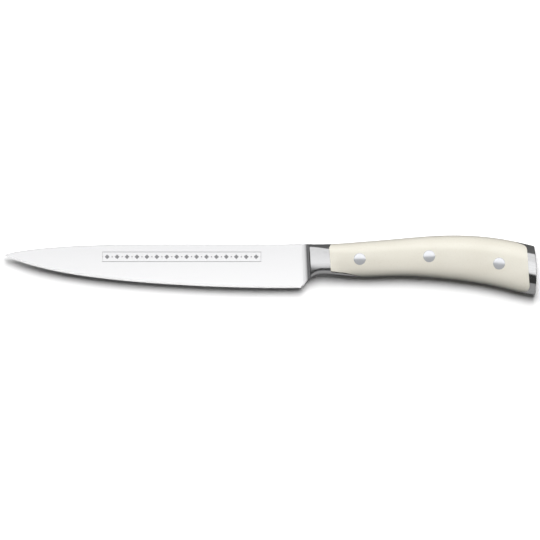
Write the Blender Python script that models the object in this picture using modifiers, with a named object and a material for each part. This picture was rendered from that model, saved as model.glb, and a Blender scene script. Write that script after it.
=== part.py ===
"""Forged carving knife, lying on its side: tip towards -X, spine towards +Y, left side up.

One forging holds the blade, the bolster, the full tang and the butt cap. Two handle scales
sit in the pockets on the tang's sides, and three two-part rivets hold them there. The forging,
the scales and the rivet heads share one ground outer surface, the handle envelope.

Units are metres. The shapes are drawn in the knife's own axes: origin on the spine line above
the bolster's shoulder, in the middle plane, with distances to the butt positive along X.
"""

import math

import bmesh
import bpy
import numpy as np
from mathutils import Matrix, Vector

MM = 0.001

# Blade, seen from the side
BLADE_LENGTH = 161.7 * MM  # tip to the bolster's shoulder
HEEL_DEPTH = 23.05 * MM  # spine line to the edge at the heel
SPINE_FALL_LENGTH = 82.2 * MM  # the stretch where the spine bends down to the point
SPINE_FALL_SLOW = 2.67 * MM
SPINE_FALL_FAST = 2.49 * MM
SPINE_FAST_POWER = 5
EDGE_RISE_LENGTH = 145.8 * MM  # the stretch where the edge bends up to the point
EDGE_RISE_SLOW = 10.1 * MM
EDGE_RISE_FAST = 6.71 * MM
EDGE_SLOW_POWER = 1.8
EDGE_FAST_POWER = 6
SPINE_LIFT_RUN = 9.0 * MM  # length over which the spine rises to the bolster's top
HEEL_SETBACK = 4.3 * MM  # heel corner to the shoulder, at the edge
HEEL_TOP_SETBACK = 0.55 * MM  # the same where the heel meets the bolster
HEEL_TOP_DEPTH = 17.85 * MM  # depth of that meeting point
HEEL_CORNER_RADIUS = 1.6 * MM

# Blade, across
SPINE_THICKNESS = 2.1 * MM  # at the heel
SPINE_TAPER = 0.0024  # loss of thickness for each metre towards the point, on the flat stretch
POINT_THICKNESS = 0.8 * MM
EDGE_THICKNESS = 0.28 * MM  # behind the cutting bevel, at the heel
EDGE_EVEN_SHARE = 0.5  # share of the bent stretch over which the edge comes to that thickness
APEX_THICKNESS = 0.03 * MM
BEVEL_HEIGHT = 0.55 * MM
BEVEL_LEAST = 0.02 * MM
SPINE_BREAK = 0.18 * MM  # chamfer on the spine's corners
HEEL_BLUNTNESS = 0.9  # thickness of the heel's lower edge, as a share of the blade's there

# Bolster and handle, along the knife
SHOULDER_SLANT = math.radians(4.8)
SHOULDER_BREAK = 0.12 * MM  # chamfer on the shoulder's edge
BOLSTER_LENGTH = 10.8 * MM
CHOIL_RUN_IN = 2.9 * MM  # shoulder to the end of the finger hollow's steep front
CHOIL_SETBACK = 8.4 * MM  # shoulder to the hollow's highest point
CHOIL_ROUNDING_RUN = 1.3 * MM  # how soon the hollow's sharp lower corner rounds off
JOINT_TO_FRONT_RIVET = 15.9 * MM
FRONT_RIVET_PITCH = 36.9 * MM
REAR_RIVET_PITCH = 37.2 * MM
REAR_RIVET_TO_BUTT = 20.0 * MM
BUTT_BOW_RADIUS = 60.0 * MM
BUTT_BOW_HEIGHT = 15.2 * MM  # depth of the bow's foremost point below the spine line
BUTT_RIM_RADIUS = 0.6 * MM

# Heights of the handle's top above the spine line
BOLSTER_TOP = 0.28 * MM
FRONT_GRIP_TOP = 1.36 * MM
WAIST_TOP = 2.86 * MM
MIDDLE_GRIP_TOP = 4.42 * MM
HUMP_TOP = 4.78 * MM
REAR_GRIP_TOP = 3.12 * MM
BUTT_TOP = -0.80 * MM

# Depths of the handle's underside below the spine line
SHOULDER_DEPTH = 17.4 * MM
CHOIL_FRONT_DEPTH = 16.0 * MM
CHOIL_DEPTH = 15.5 * MM
CHOIL_REAR_DEPTH = 16.42 * MM
FRONT_GRIP_DEPTH = 17.22 * MM
WAIST_DEPTH = 16.9 * MM
MIDDLE_GRIP_DEPTH = 17.6 * MM
REAR_SWELL_DEPTH = 19.65 * MM
REAR_GRIP_DEPTH = 23.1 * MM
FLARE_DEPTH = 25.5 * MM
BUTT_DEPTH = 26.8 * MM

# Thickness across the handle: the sides are flat from the front rivet to the middle one
SHOULDER_WIDTH = 11.0 * MM
FRONT_GRIP_WIDTH = 14.6 * MM
MIDDLE_GRIP_WIDTH = 16.6 * MM
BUTT_WIDTH = 16.2 * MM

# Handle's section: a flat land on each side, and corners that are squarer for larger values
LAND_SHARE = 0.3  # height of the land, as a share of the section's height
SHOULDER_SQUARENESS = 6.0
JOINT_SQUARENESS = 3.4
CHOIL_SQUARENESS = 3.1
GRIP_SQUARENESS = 2.4
BUTT_SQUARENESS = 2.2
HEEL_SQUARENESS = 14.0

# Tang and scale pockets
TANG_THICKNESS = 3.0 * MM
JOINT_SLANT = math.radians(3.0)
LEDGE_HEIGHT = 1.2 * MM  # strip of steel under the scale's front end
LEDGE_RUN = 8.0 * MM
LEDGE_CORNER_RADIUS = 0.9 * MM
CAP_LENGTH = 3.7 * MM  # butt cap behind the scale, at the middle of its height
CAP_JOINT_SLANT = math.radians(4.5)
CAP_STRIP_HEIGHT = 0.5 * MM  # strips of steel above and below the scale's rear end
CAP_STRIP_RUN = 9.6 * MM
CAP_CORNER_RADIUS = 3.2 * MM

# Rivets
FRONT_RIVET_DEPTH = 7.7 * MM
MIDDLE_RIVET_DEPTH = 6.2 * MM
REAR_RIVET_DEPTH = 10.1 * MM
HEAD_DIAMETER = 6.3 * MM
SHANK_DIAMETER = 4.4 * MM
PIN_DIAMETER = 2.6 * MM
SCALE_WEB = 3.2 * MM  # scale left between the tang and the rivet's head

# Fits
SCALE_GAP = 0.3 * MM  # scale to the steel round it
RIVET_GAP = 0.3 * MM  # head, shank and pin to what holds them
SHANK_END_GAP = 0.5 * MM
HEEL_STEP = 0.25 * MM  # how far the bolster's hollow stops short of the heel line
FILLET_SINK = 0.02 * MM  # how far the fillet's toe runs into the blade's side

# Mesh fineness
ROUND_STEPS = 28
SECTION_STEPS = 17
ARC_STEPS = 8
POINT_STEPS = 4
BENT_BLADE_STEPS = 16
FLAT_BLADE_STEPS = 6
HEEL_STEPS = 10
BOLSTER_STEPS = 7
FRONT_GRIP_STEPS = 6
GRIP_STEPS = 16
REAR_GRIP_STEPS = 7
RIM_STEPS = 4
OUTLINE_SAMPLES = 400

# Places along the knife that follow from the sizes above
TIP_X = -BLADE_LENGTH
FLAT_START_X = TIP_X + SPINE_FALL_LENGTH
JOINT_X = BOLSTER_LENGTH
FRONT_RIVET_X = JOINT_X + JOINT_TO_FRONT_RIVET
MIDDLE_RIVET_X = FRONT_RIVET_X + FRONT_RIVET_PITCH
REAR_RIVET_X = MIDDLE_RIVET_X + REAR_RIVET_PITCH
BUTT_X = REAR_RIVET_X + REAR_RIVET_TO_BUTT
WAIST_X = (FRONT_RIVET_X + MIDDLE_RIVET_X) / 2
HUMP_X = (MIDDLE_RIVET_X + REAR_RIVET_X) / 2
FLARE_X = (REAR_RIVET_X + BUTT_X) / 2
CHOIL_REAR_X = (CHOIL_SETBACK + FRONT_RIVET_X) / 2
FILLET_RADIUS = (SHOULDER_WIDTH - SPINE_THICKNESS) / 2  # hollow from the blade's side to the shoulder
HEEL_SLOPE = (HEEL_DEPTH - HEEL_TOP_DEPTH) / (HEEL_SETBACK - HEEL_TOP_SETBACK)
LAND_SLOPE = (MIDDLE_GRIP_WIDTH - FRONT_GRIP_WIDTH) / FRONT_RIVET_PITCH / 2
TANG_HALF = TANG_THICKNESS / 2
BOLSTER_MIDDLE = -(SHOULDER_DEPTH - BOLSTER_TOP) / 2
OUTSIDE = 20 * MM  # a length that takes a cutter well past the handle's surface


def smooth_curve(points):
    """Natural cubic spline through points of rising X, as a function of X."""
    xs, ys = np.array(points, float).T
    runs = np.diff(xs)
    slopes = np.diff(ys) / runs
    count = len(xs)
    matrix = np.eye(count)
    right = np.zeros(count)
    for i in range(1, count - 1):
        matrix[i, i - 1 : i + 2] = runs[i - 1], 2 * (runs[i - 1] + runs[i]), runs[i]
        right[i] = 6 * (slopes[i] - slopes[i - 1])
    bends = np.linalg.solve(matrix, right)

    def height_at(x):
        i = int(np.clip(np.searchsorted(xs, x) - 1, 0, count - 2))
        run = runs[i]
        before = (xs[i + 1] - x) / run
        after = 1 - before
        cubic = (before**3 - before) * bends[i] + (after**3 - after) * bends[i + 1]
        return float(before * ys[i] + after * ys[i + 1] + cubic * run**2 / 6)

    return height_at


def eased(x, start, end):
    """0 before start, 1 after end, and a smooth rise between them."""
    share = min(max((x - start) / (end - start), 0.0), 1.0)
    return share * share * (3 - 2 * share)


def heel_line_at_station(x):
    """Height where a slanted section at this station meets the heel's straight line."""
    lean_rate = math.tan(SHOULDER_SLANT)
    line = -HEEL_DEPTH + HEEL_SLOPE * (x + lean_rate * BOLSTER_MIDDLE + HEEL_SETBACK)
    return line / (1 + HEEL_SLOPE * lean_rate)


handle_top = smooth_curve(
    [
        (-FILLET_RADIUS, BOLSTER_TOP),
        (JOINT_X, BOLSTER_TOP),
        (FRONT_RIVET_X, FRONT_GRIP_TOP),
        (WAIST_X, WAIST_TOP),
        (MIDDLE_RIVET_X, MIDDLE_GRIP_TOP),
        (HUMP_X, HUMP_TOP),
        (REAR_RIVET_X, REAR_GRIP_TOP),
        (BUTT_X, BUTT_TOP),
    ]
)
handle_bottom = smooth_curve(
    [
        (-FILLET_RADIUS, heel_line_at_station(-FILLET_RADIUS) + HEEL_STEP),
        (-FILLET_RADIUS / 3, heel_line_at_station(-FILLET_RADIUS / 3)),
        (0, -SHOULDER_DEPTH),
        (CHOIL_RUN_IN, -CHOIL_FRONT_DEPTH),
        (CHOIL_SETBACK, -CHOIL_DEPTH),
        (CHOIL_REAR_X, -CHOIL_REAR_DEPTH),
        (FRONT_RIVET_X, -FRONT_GRIP_DEPTH),
        (WAIST_X, -WAIST_DEPTH),
        (MIDDLE_RIVET_X, -MIDDLE_GRIP_DEPTH),
        (HUMP_X, -REAR_SWELL_DEPTH),
        (REAR_RIVET_X, -REAR_GRIP_DEPTH),
        (FLARE_X, -FLARE_DEPTH),
        (BUTT_X, -BUTT_DEPTH),
    ]
)


def handle_half_width(x):
    """A straight line along the flat lands, drawn in by a parabola ahead of them and behind."""
    width_line = FRONT_GRIP_WIDTH / 2 + LAND_SLOPE * (x - FRONT_RIVET_X)
    front_fall = (FRONT_GRIP_WIDTH - SHOULDER_WIDTH) / 2 - LAND_SLOPE * FRONT_RIVET_X
    rear_run = BUTT_X - MIDDLE_RIVET_X
    rear_fall = (MIDDLE_GRIP_WIDTH - BUTT_WIDTH) / 2 + LAND_SLOPE * rear_run
    ahead = max((FRONT_RIVET_X - x) / FRONT_RIVET_X, 0.0)
    behind = max((x - MIDDLE_RIVET_X) / rear_run, 0.0)
    return width_line - front_fall * ahead**2 - rear_fall * behind**2


def top_squareness(x):
    front = SHOULDER_SQUARENESS + (JOINT_SQUARENESS - SHOULDER_SQUARENESS) * eased(x, 0, JOINT_X)
    grip = front + (GRIP_SQUARENESS - front) * eased(x, JOINT_X, FRONT_RIVET_X)
    return grip + (BUTT_SQUARENESS - grip) * eased(x, MIDDLE_RIVET_X, BUTT_X)


def bottom_squareness(x):
    fade = math.exp(-max(x + HEEL_TOP_SETBACK, 0.0) / CHOIL_ROUNDING_RUN)
    front = CHOIL_SQUARENESS + (HEEL_SQUARENESS - CHOIL_SQUARENESS) * fade
    grip = front + (GRIP_SQUARENESS - front) * eased(x, CHOIL_SETBACK, FRONT_RIVET_X)
    return grip + (BUTT_SQUARENESS - grip) * eased(x, MIDDLE_RIVET_X, BUTT_X)


def spine_height(x):
    """Blade's top line: straight, then bent down to the point, with a small lift to the bolster."""
    share = max((FLAT_START_X - x) / SPINE_FALL_LENGTH, 0.0)
    lift = BOLSTER_TOP * eased(x, -FILLET_RADIUS - SPINE_LIFT_RUN, -FILLET_RADIUS)
    return lift - SPINE_FALL_SLOW * share**2 - SPINE_FALL_FAST * share**SPINE_FAST_POWER


def edge_height(x):
    share = max((TIP_X + EDGE_RISE_LENGTH - x) / EDGE_RISE_LENGTH, 0.0)
    rise = EDGE_RISE_SLOW * share**EDGE_SLOW_POWER + EDGE_RISE_FAST * share**EDGE_FAST_POWER
    return -HEEL_DEPTH + rise


def side_plane(x, y):
    """Half thickness of the blade on its flat rear stretch, where both sides are true planes."""
    slope = (SPINE_THICKNESS - EDGE_THICKNESS) / HEEL_DEPTH / 2
    return SPINE_THICKNESS / 2 + slope * y + SPINE_TAPER * x / 2


def blade_half_thickness(x, y):
    """The side plane, drawn in towards the point so that the edge keeps its thickness."""
    spine, edge = spine_height(x), edge_height(x)
    share = max((FLAT_START_X - x) / SPINE_FALL_LENGTH, 0.0)
    at_spine = side_plane(x, spine)
    at_edge = side_plane(x, edge)
    spine_loss = (side_plane(TIP_X, spine_height(TIP_X)) - POINT_THICKNESS / 2) * share**2
    thin_edge = at_edge + (EDGE_THICKNESS / 2 - at_edge) * eased(share, 0, EDGE_EVEN_SHARE)
    height = (y - edge) / (spine - edge)
    return thin_edge + (at_spine - spine_loss - thin_edge) * height


def new_object(name, collection, verts=(), faces=(), parent=None):
    mesh = bpy.data.meshes.new(name)
    mesh.from_pydata([tuple(v) for v in verts], [], [tuple(f) for f in faces])
    mesh.update()
    obj = bpy.data.objects.new(name, mesh)
    collection.objects.link(obj)
    obj.parent = parent
    return obj


def face_outwards(obj):
    work = bmesh.new()
    work.from_mesh(obj.data)
    bmesh.ops.recalc_face_normals(work, faces=work.faces)
    work.to_mesh(obj.data)
    work.free()


def skin(rings):
    """Verts and faces of a loft over rings of equal length, left open at both ends."""
    size = len(rings[0])
    verts = [point for ring in rings for point in ring]
    faces = []
    for i in range(len(rings) - 1):
        for j in range(size):
            following = (j + 1) % size
            faces.append(
                (i * size + j, i * size + following, (i + 1) * size + following, (i + 1) * size + j)
            )
    return verts, faces


def cap_in_strips(first, size):
    """Closes a ring that is the same on both sides of the middle plane, with strips across it.

    The ring runs from the top point down one side to the bottom point and up the other."""
    half = size // 2
    faces = [(first, first + 1, first + size - 1)]
    for j in range(1, half - 1):
        faces.append((first + j, first + j + 1, first + size - j - 1, first + size - j))
    faces.append((first + half - 1, first + half, first + half + 1))
    return faces


def spread(start, end, steps):
    return [start + (end - start) * i / steps for i in range(steps)]


def handle_stations():
    """(place along the handle, inset) of each section, denser where the surface bends."""
    turns = spread(0, math.pi / 2, ARC_STEPS)
    along = [-FILLET_RADIUS * (1 - math.sin(turn)) for turn in turns]
    along += [0.0] + spread(SHOULDER_BREAK, JOINT_X, BOLSTER_STEPS)
    along += spread(JOINT_X, FRONT_RIVET_X, FRONT_GRIP_STEPS)
    along += spread(FRONT_RIVET_X, REAR_RIVET_X, GRIP_STEPS)
    along += spread(REAR_RIVET_X, BUTT_X - BUTT_RIM_RADIUS, REAR_GRIP_STEPS)
    stations = [(x, 0.0) for x in along]
    for i in range(RIM_STEPS + 1):
        turn = math.pi / 2 * i / RIM_STEPS
        place = BUTT_X - BUTT_RIM_RADIUS * (1 - math.sin(turn))
        stations.append((place, BUTT_RIM_RADIUS * (1 - math.cos(turn))))
    return stations


def lean(x, y):
    """Shift of a section's point along the knife: the slanted shoulder and the bowed butt."""
    shoulder = math.tan(SHOULDER_SLANT) * (BOLSTER_MIDDLE - y) * (1 - eased(x, 0, FRONT_RIVET_X))
    bow = (y + BUTT_BOW_HEIGHT) ** 2 / (2 * BUTT_BOW_RADIUS)
    behind = max((x - REAR_RIVET_X) / (BUTT_X - REAR_RIVET_X), 0.0)
    return shoulder - bow * behind**2


def fillet_limit(x, y):
    """Half thickness of the hollow between the blade's side and the shoulder."""
    from_toe = FILLET_RADIUS + min(x, 0.0)
    rise = FILLET_RADIUS - math.sqrt(FILLET_RADIUS**2 - from_toe**2)
    return side_plane(x, y) - FILLET_SINK + rise


def handle_section(x, inset):
    """One ring of the handle: top corner arc, flat land and bottom corner arc on each side."""
    top = handle_top(x) - inset
    bottom = handle_bottom(x) + inset
    half_width = handle_half_width(max(x, 0.0)) - inset
    middle = (top + bottom) / 2
    half_height = (top - bottom) / 2
    land = LAND_SHARE * half_height
    quarter = [math.pi / 2 * j / SECTION_STEPS for j in range(SECTION_STEPS + 1)]
    side = []
    for sign, squareness in ((1, top_squareness(x)), (-1, bottom_squareness(x))):
        for angle in reversed(quarter) if sign > 0 else quarter:
            rise = math.sin(angle) ** (2 / squareness)
            y = middle + sign * (land + (half_height - land) * rise)
            z = half_width * max(math.cos(angle), 0.0) ** (2 / squareness)
            if x <= 0:
                z = min(z, fillet_limit(x, y))
            side.append((x + lean(x, y), y, z))
    side[0] = (*side[0][:2], 0.0)
    side[-1] = (*side[-1][:2], 0.0)
    return side + [(px, py, -pz) for px, py, pz in reversed(side[1:-1])]


def handle_envelope(name, collection, parent):
    rings = [handle_section(x, inset) for x, inset in handle_stations()]
    verts, faces = skin(rings)
    size = len(rings[0])
    faces += cap_in_strips(0, size) + cap_in_strips(size * (len(rings) - 1), size)
    obj = new_object(name, collection, verts, faces, parent)
    face_outwards(obj)
    return obj


def blade_point():
    """Centre and radius of the rounded point: (x, y, radius)."""
    radius = (spine_height(TIP_X) - edge_height(TIP_X)) / 2
    x = TIP_X + radius
    return x, (spine_height(x) + edge_height(x)) / 2, radius


def blade_stations():
    """Places along the blade, from the point to a root inside the bolster."""
    centre, _, radius = blade_point()
    turns = [math.pi / 2 * i / POINT_STEPS for i in range(1, POINT_STEPS)]
    tip = [centre - radius * math.cos(turn) for turn in turns]
    heel_edge = -HEEL_SETBACK - HEEL_CORNER_RADIUS
    bent = spread(centre, FLAT_START_X, BENT_BLADE_STEPS)
    flat = spread(FLAT_START_X, heel_edge, FLAT_BLADE_STEPS)
    heel = spread(heel_edge, -HEEL_TOP_SETBACK, HEEL_STEPS)
    return tip + bent + flat + heel + [-HEEL_TOP_SETBACK, FILLET_RADIUS / 4]


def heel_height(x):
    """Lower line of the heel: a corner arc, then a straight run up to the bolster."""
    radius = HEEL_CORNER_RADIUS
    turn = math.atan(HEEL_SLOPE)
    start = -HEEL_SETBACK - radius * math.tan(turn / 2)
    end = start + radius * math.sin(turn)
    if x <= start:
        return -HEEL_DEPTH
    if x >= end:
        return -HEEL_DEPTH + HEEL_SLOPE * (x + HEEL_SETBACK)
    return -HEEL_DEPTH + radius - math.sqrt(radius**2 - (x - start) ** 2)


def blade_section(x):
    """Eight points: chamfered spine, two sides, two bevel shoulders and the narrow apex."""
    centre, middle, radius = blade_point()
    if x < centre:
        half = math.sqrt(radius**2 - (centre - x) ** 2)
        spine, edge = middle + half, middle - half
        at_spine = at_shoulder = (POINT_THICKNESS / 2) * half / radius
        apex = APEX_THICKNESS / 2
        shoulder = edge + half * BEVEL_HEIGHT / radius / 2
    else:
        spine = spine_height(x)
        edge = max(edge_height(x), heel_height(x))
        at_heel = eased(x, -HEEL_SETBACK - HEEL_CORNER_RADIUS, -HEEL_SETBACK)
        bevel = BEVEL_HEIGHT * (1 - at_heel) * min(1, (spine - edge) / (4 * BEVEL_HEIGHT))
        shoulder = edge + max(bevel, BEVEL_LEAST)
        at_spine = blade_half_thickness(x, spine)
        at_shoulder = blade_half_thickness(x, shoulder)
        apex = APEX_THICKNESS / 2 + (at_shoulder - APEX_THICKNESS / 2) * at_heel * HEEL_BLUNTNESS
    chamfer = min(SPINE_BREAK, at_spine / 2, (spine - edge) / 10)
    side = [(spine, at_spine - chamfer), (spine - chamfer, at_spine), (shoulder, at_shoulder), (edge, apex)]
    return [(x, y, z) for y, z in side] + [(x, y, -z) for y, z in reversed(side)]


def blade_body(name, collection, parent):
    rings = [blade_section(x) for x in blade_stations()]
    verts, faces = skin(rings)
    size = len(rings[0])
    last = size * (len(rings) - 1)
    for first in (0, last):
        for j in range(size // 2 - 1):
            faces.append((first + j, first + j + 1, first + size - j - 2, first + size - j - 1))
    obj = new_object(name, collection, verts, faces, parent)
    face_outwards(obj)
    return obj


def rounded_outline(corners):
    """Points of a closed outline from (x, y, radius) corners, each rounded by an arc."""
    points = []
    count = len(corners)
    for i, (x, y, radius) in enumerate(corners):
        here = Vector((x, y))
        if not radius:
            points.append(here)
            continue
        to_last = (Vector(corners[i - 1][:2]) - here).normalized()
        to_next = (Vector(corners[(i + 1) % count][:2]) - here).normalized()
        half_angle = to_last.angle(to_next) / 2
        centre = here + (to_last + to_next).normalized() * radius / math.sin(half_angle)
        start = here + to_last * radius / math.tan(half_angle) - centre
        sweep = (here + to_next * radius / math.tan(half_angle) - centre).angle_signed(start)
        for step in range(ARC_STEPS + 1):
            turned_start = Matrix.Rotation(sweep * step / ARC_STEPS, 2) @ start
            points.append(centre + turned_start)
    return points


def pocket_outline():
    """Outline of a scale's pocket, seen from the side. It runs past the handle where no steel is."""
    cap_x = BUTT_X - CAP_LENGTH
    cap_middle = (handle_top(cap_x) + handle_bottom(cap_x)) / 2

    def joint(y):
        return JOINT_X + math.tan(JOINT_SLANT) * (BOLSTER_MIDDLE - y)

    def cap_joint(y):
        return cap_x + math.tan(CAP_JOINT_SLANT) * (cap_middle - y)

    ledge_x = JOINT_X + LEDGE_RUN
    ledge_y = handle_bottom(JOINT_X) + LEDGE_HEIGHT
    low_y = handle_bottom(cap_x) + CAP_STRIP_HEIGHT
    top_y = handle_top(cap_x)
    strip_x = cap_x - CAP_STRIP_RUN
    beyond = OUTSIDE / 4
    below = -2 * OUTSIDE
    corners = [
        (joint(OUTSIDE), OUTSIDE, 0),
        (joint(ledge_y), ledge_y, LEDGE_CORNER_RADIUS),
        (ledge_x, handle_bottom(ledge_x) + LEDGE_HEIGHT, 0),
        (FRONT_RIVET_X, handle_bottom(FRONT_RIVET_X), 0),
        (FRONT_RIVET_X + beyond, below, 0),
        (strip_x - beyond, below, 0),
        (strip_x, handle_bottom(strip_x) - CAP_STRIP_HEIGHT, 0),
        (cap_joint(low_y), low_y, CAP_CORNER_RADIUS),
        (cap_joint(top_y), top_y, CAP_CORNER_RADIUS),
        (strip_x, handle_top(strip_x) + 2 * CAP_STRIP_HEIGHT, 0),
        (strip_x - beyond, OUTSIDE, 0),
    ]
    return rounded_outline(corners)


def drawn_in(points, gap):
    """The outline, listed anticlockwise, with every side moved inwards by gap."""
    moved = []
    for i, here in enumerate(points):
        before = (here - points[i - 1]).normalized()
        after = (points[(i + 1) % len(points)] - here).normalized()
        inward = Vector((-before.y - after.y, before.x + after.x))
        moved.append(here + inward * gap / (1 + before.dot(after)))
    return moved


def flat_prism(name, collection, parent, points, low, high):
    """A closed solid: the outline, extruded from z = low to z = high."""
    curve = bpy.data.curves.new(name, "CURVE")
    curve.dimensions = "2D"
    curve.fill_mode = "BOTH"
    curve.extrude = (high - low) / 2
    spline = curve.splines.new("POLY")
    spline.points.add(len(points) - 1)
    for point, place in zip(spline.points, points):
        point.co = (place[0], place[1], 0, 1)
    spline.use_cyclic_u = True
    outline = bpy.data.objects.new(name + "_outline", curve)
    collection.objects.link(outline)
    mesh = bpy.data.meshes.new_from_object(outline.evaluated_get(bpy.context.evaluated_depsgraph_get()))
    mesh.transform(Matrix.Translation((0, 0, (low + high) / 2)))
    bpy.data.objects.remove(outline)
    work = bmesh.new()
    work.from_mesh(mesh)
    bmesh.ops.remove_doubles(work, verts=work.verts, dist=1e-6)
    bmesh.ops.recalc_face_normals(work, faces=work.faces)
    work.to_mesh(mesh)
    work.free()
    obj = bpy.data.objects.new(name, mesh)
    collection.objects.link(obj)
    obj.parent = parent
    return obj


def turned(name, collection, parent, profile, place, flip):
    """A turned piece: its (radius, height) profile spun about Z, set at place."""
    mesh = bpy.data.meshes.new(name)
    edges = [(i, i + 1) for i in range(len(profile) - 1)]
    mesh.from_pydata([(radius, 0, height) for radius, height in profile], edges, [])
    obj = bpy.data.objects.new(name, mesh)
    collection.objects.link(obj)
    spin = obj.modifiers.new("Turn", "SCREW")
    spin.axis = "Z"
    spin.steps = ROUND_STEPS
    spin.render_steps = ROUND_STEPS
    spin.use_merge_vertices = True
    spin.merge_threshold = 0.000001
    obj.parent = parent
    obj.location = (*place, 0)
    if flip:
        obj.rotation_euler = (math.pi, 0, 0)
    return obj


def head_seat():
    """Height of the floor that a rivet's head rests on, above the middle plane."""
    return TANG_HALF + SCALE_WEB


def male_profile():
    """Head with a solid pin, listed from the top of the axis down the outside."""
    head, pin, seat = HEAD_DIAMETER / 2, PIN_DIAMETER / 2, head_seat()
    end = -seat + SHANK_END_GAP
    return [(0, OUTSIDE), (head, OUTSIDE), (head, seat), (pin, seat), (pin, end), (0, end)]


def female_profile():
    """Head with a tubular shank; the bore stops inside the head."""
    head, shank, seat = HEAD_DIAMETER / 2, SHANK_DIAMETER / 2, head_seat()
    bore = PIN_DIAMETER / 2 + RIVET_GAP
    end = -seat + SHANK_END_GAP
    return [
        (0, OUTSIDE),
        (head, OUTSIDE),
        (head, seat),
        (shank, seat),
        (shank, end),
        (bore, end),
        (bore, seat),
        (0, seat),
    ]


def scale_bore_profile():
    """Cutter for one rivet in one scale: the shank's hole, opening into the head's counterbore."""
    head, shank = HEAD_DIAMETER / 2 + RIVET_GAP, SHANK_DIAMETER / 2 + RIVET_GAP
    return [(0, OUTSIDE), (head, OUTSIDE), (head, head_seat()), (shank, head_seat()), (shank, 0), (0, 0)]


def tang_hole_profile():
    radius = SHANK_DIAMETER / 2 + RIVET_GAP
    return [(0, TANG_THICKNESS), (radius, TANG_THICKNESS), (radius, -TANG_THICKNESS), (0, -TANG_THICKNESS)]


def boolean(obj, other, operation):
    modifier = obj.modifiers.new(operation.title() + " " + other.name, "BOOLEAN")
    modifier.operation = operation
    modifier.object = other
    modifier.solver = "EXACT"
    return modifier


def material(name, colour, roughness, metallic):
    made = bpy.data.materials.new(name)
    made.use_nodes = True
    shader = made.node_tree.nodes["Principled BSDF"]
    shader.inputs["Base Color"].default_value = (*colour, 1)
    shader.inputs["Roughness"].default_value = roughness
    shader.inputs["Metallic"].default_value = metallic
    made.diffuse_color = (*colour, 1)
    return made


def dress(obj, made):
    obj.data.materials.clear()
    obj.data.materials.append(made)
    obj.data.shade_smooth()
    obj.data.set_sharp_from_angle(angle=math.radians(30))


def as_cutters(collection):
    for obj in collection.objects:
        obj.hide_render = True
        obj.display_type = "WIRE"


def clear_scene():
    for obj in list(bpy.data.objects):
        bpy.data.objects.remove(obj)


def knife_axes(collection):
    """Empty that carries the knife: it centres the outline on the origin and rests it on z = 0."""
    samples = [BUTT_X * i / OUTLINE_SAMPLES for i in range(OUTLINE_SAMPLES + 1)]
    highest = max(handle_top(x) for x in samples)
    lowest = min(handle_bottom(x) for x in samples)
    widest = max(handle_half_width(x) for x in samples)
    axes = bpy.data.objects.new("knife_axes", None)
    axes.location = (-(BUTT_X + TIP_X) / 2, -(highest + lowest) / 2, widest)
    collection.objects.link(axes)
    return axes


def rivet_places():
    return {
        "front": (FRONT_RIVET_X, -FRONT_RIVET_DEPTH),
        "middle": (MIDDLE_RIVET_X, -MIDDLE_RIVET_DEPTH),
        "rear": (REAR_RIVET_X, -REAR_RIVET_DEPTH),
    }


def build_forging(pieces, cutters, axes):
    """Handle envelope, less the two scale pockets, plus the blade, less the rivet holes."""
    forging = handle_envelope("forged_blade_and_tang", pieces, axes)
    blade = blade_body("blade_body", cutters, axes)
    for side, low, high in (("left", TANG_HALF, OUTSIDE), ("right", -OUTSIDE, -TANG_HALF)):
        pocket = flat_prism("pocket_" + side, cutters, axes, pocket_outline(), low, high)
        boolean(forging, pocket, "DIFFERENCE")
    boolean(forging, blade, "UNION")
    for name, place in rivet_places().items():
        hole = turned("tang_hole_" + name, cutters, axes, tang_hole_profile(), place, False)
        boolean(forging, hole, "DIFFERENCE")
    dress(forging, material("forged_stainless", (0.62, 0.62, 0.63), 0.22, 1.0))


def build_scales(pieces, cutters, axes, envelope):
    """Each scale fills its pocket up to the envelope, and is bored for the rivets."""
    cream = material("cream_acetal", (0.80, 0.77, 0.68), 0.32, 0.0)
    outline = drawn_in(pocket_outline(), SCALE_GAP)
    for side, low, high in (("left", TANG_HALF, OUTSIDE), ("right", -OUTSIDE, -TANG_HALF)):
        scale = flat_prism("scale_" + side, pieces, axes, outline, low, high)
        boolean(scale, envelope, "INTERSECT")
        for name, place in rivet_places().items():
            bore_name = "bore_" + name + "_" + side
            bore = turned(bore_name, cutters, axes, scale_bore_profile(), place, side == "right")
            boolean(scale, bore, "DIFFERENCE")
        dress(scale, cream)


def build_rivets(pieces, axes, envelope):
    """The heads are ground flush with the scales: the envelope cuts them off."""
    bright = material("rivet_stainless", (0.70, 0.71, 0.74), 0.25, 1.0)
    for name, place in rivet_places().items():
        for half, profile, flip in (("male", male_profile(), True), ("female", female_profile(), False)):
            rivet = turned("rivet_" + name + "_" + half, pieces, axes, profile, place, flip)
            boolean(rivet, envelope, "INTERSECT")
            dress(rivet, bright)


def build_knife():
    clear_scene()
    pieces = bpy.data.collections.new("carving_knife")
    cutters = bpy.data.collections.new("cutters")
    for collection in (pieces, cutters):
        bpy.context.scene.collection.children.link(collection)
    axes = knife_axes(pieces)
    envelope = handle_envelope("ground_surface", cutters, axes)
    build_forging(pieces, cutters, axes)
    build_scales(pieces, cutters, axes, envelope)
    build_rivets(pieces, axes, envelope)
    as_cutters(cutters)


build_knife()
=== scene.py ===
import math

import bmesh
import bpy
import numpy as np
from mathutils import Matrix, Vector
from mathutils.bvhtree import BVHTree
from mathutils.geometry import barycentric_transform


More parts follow.
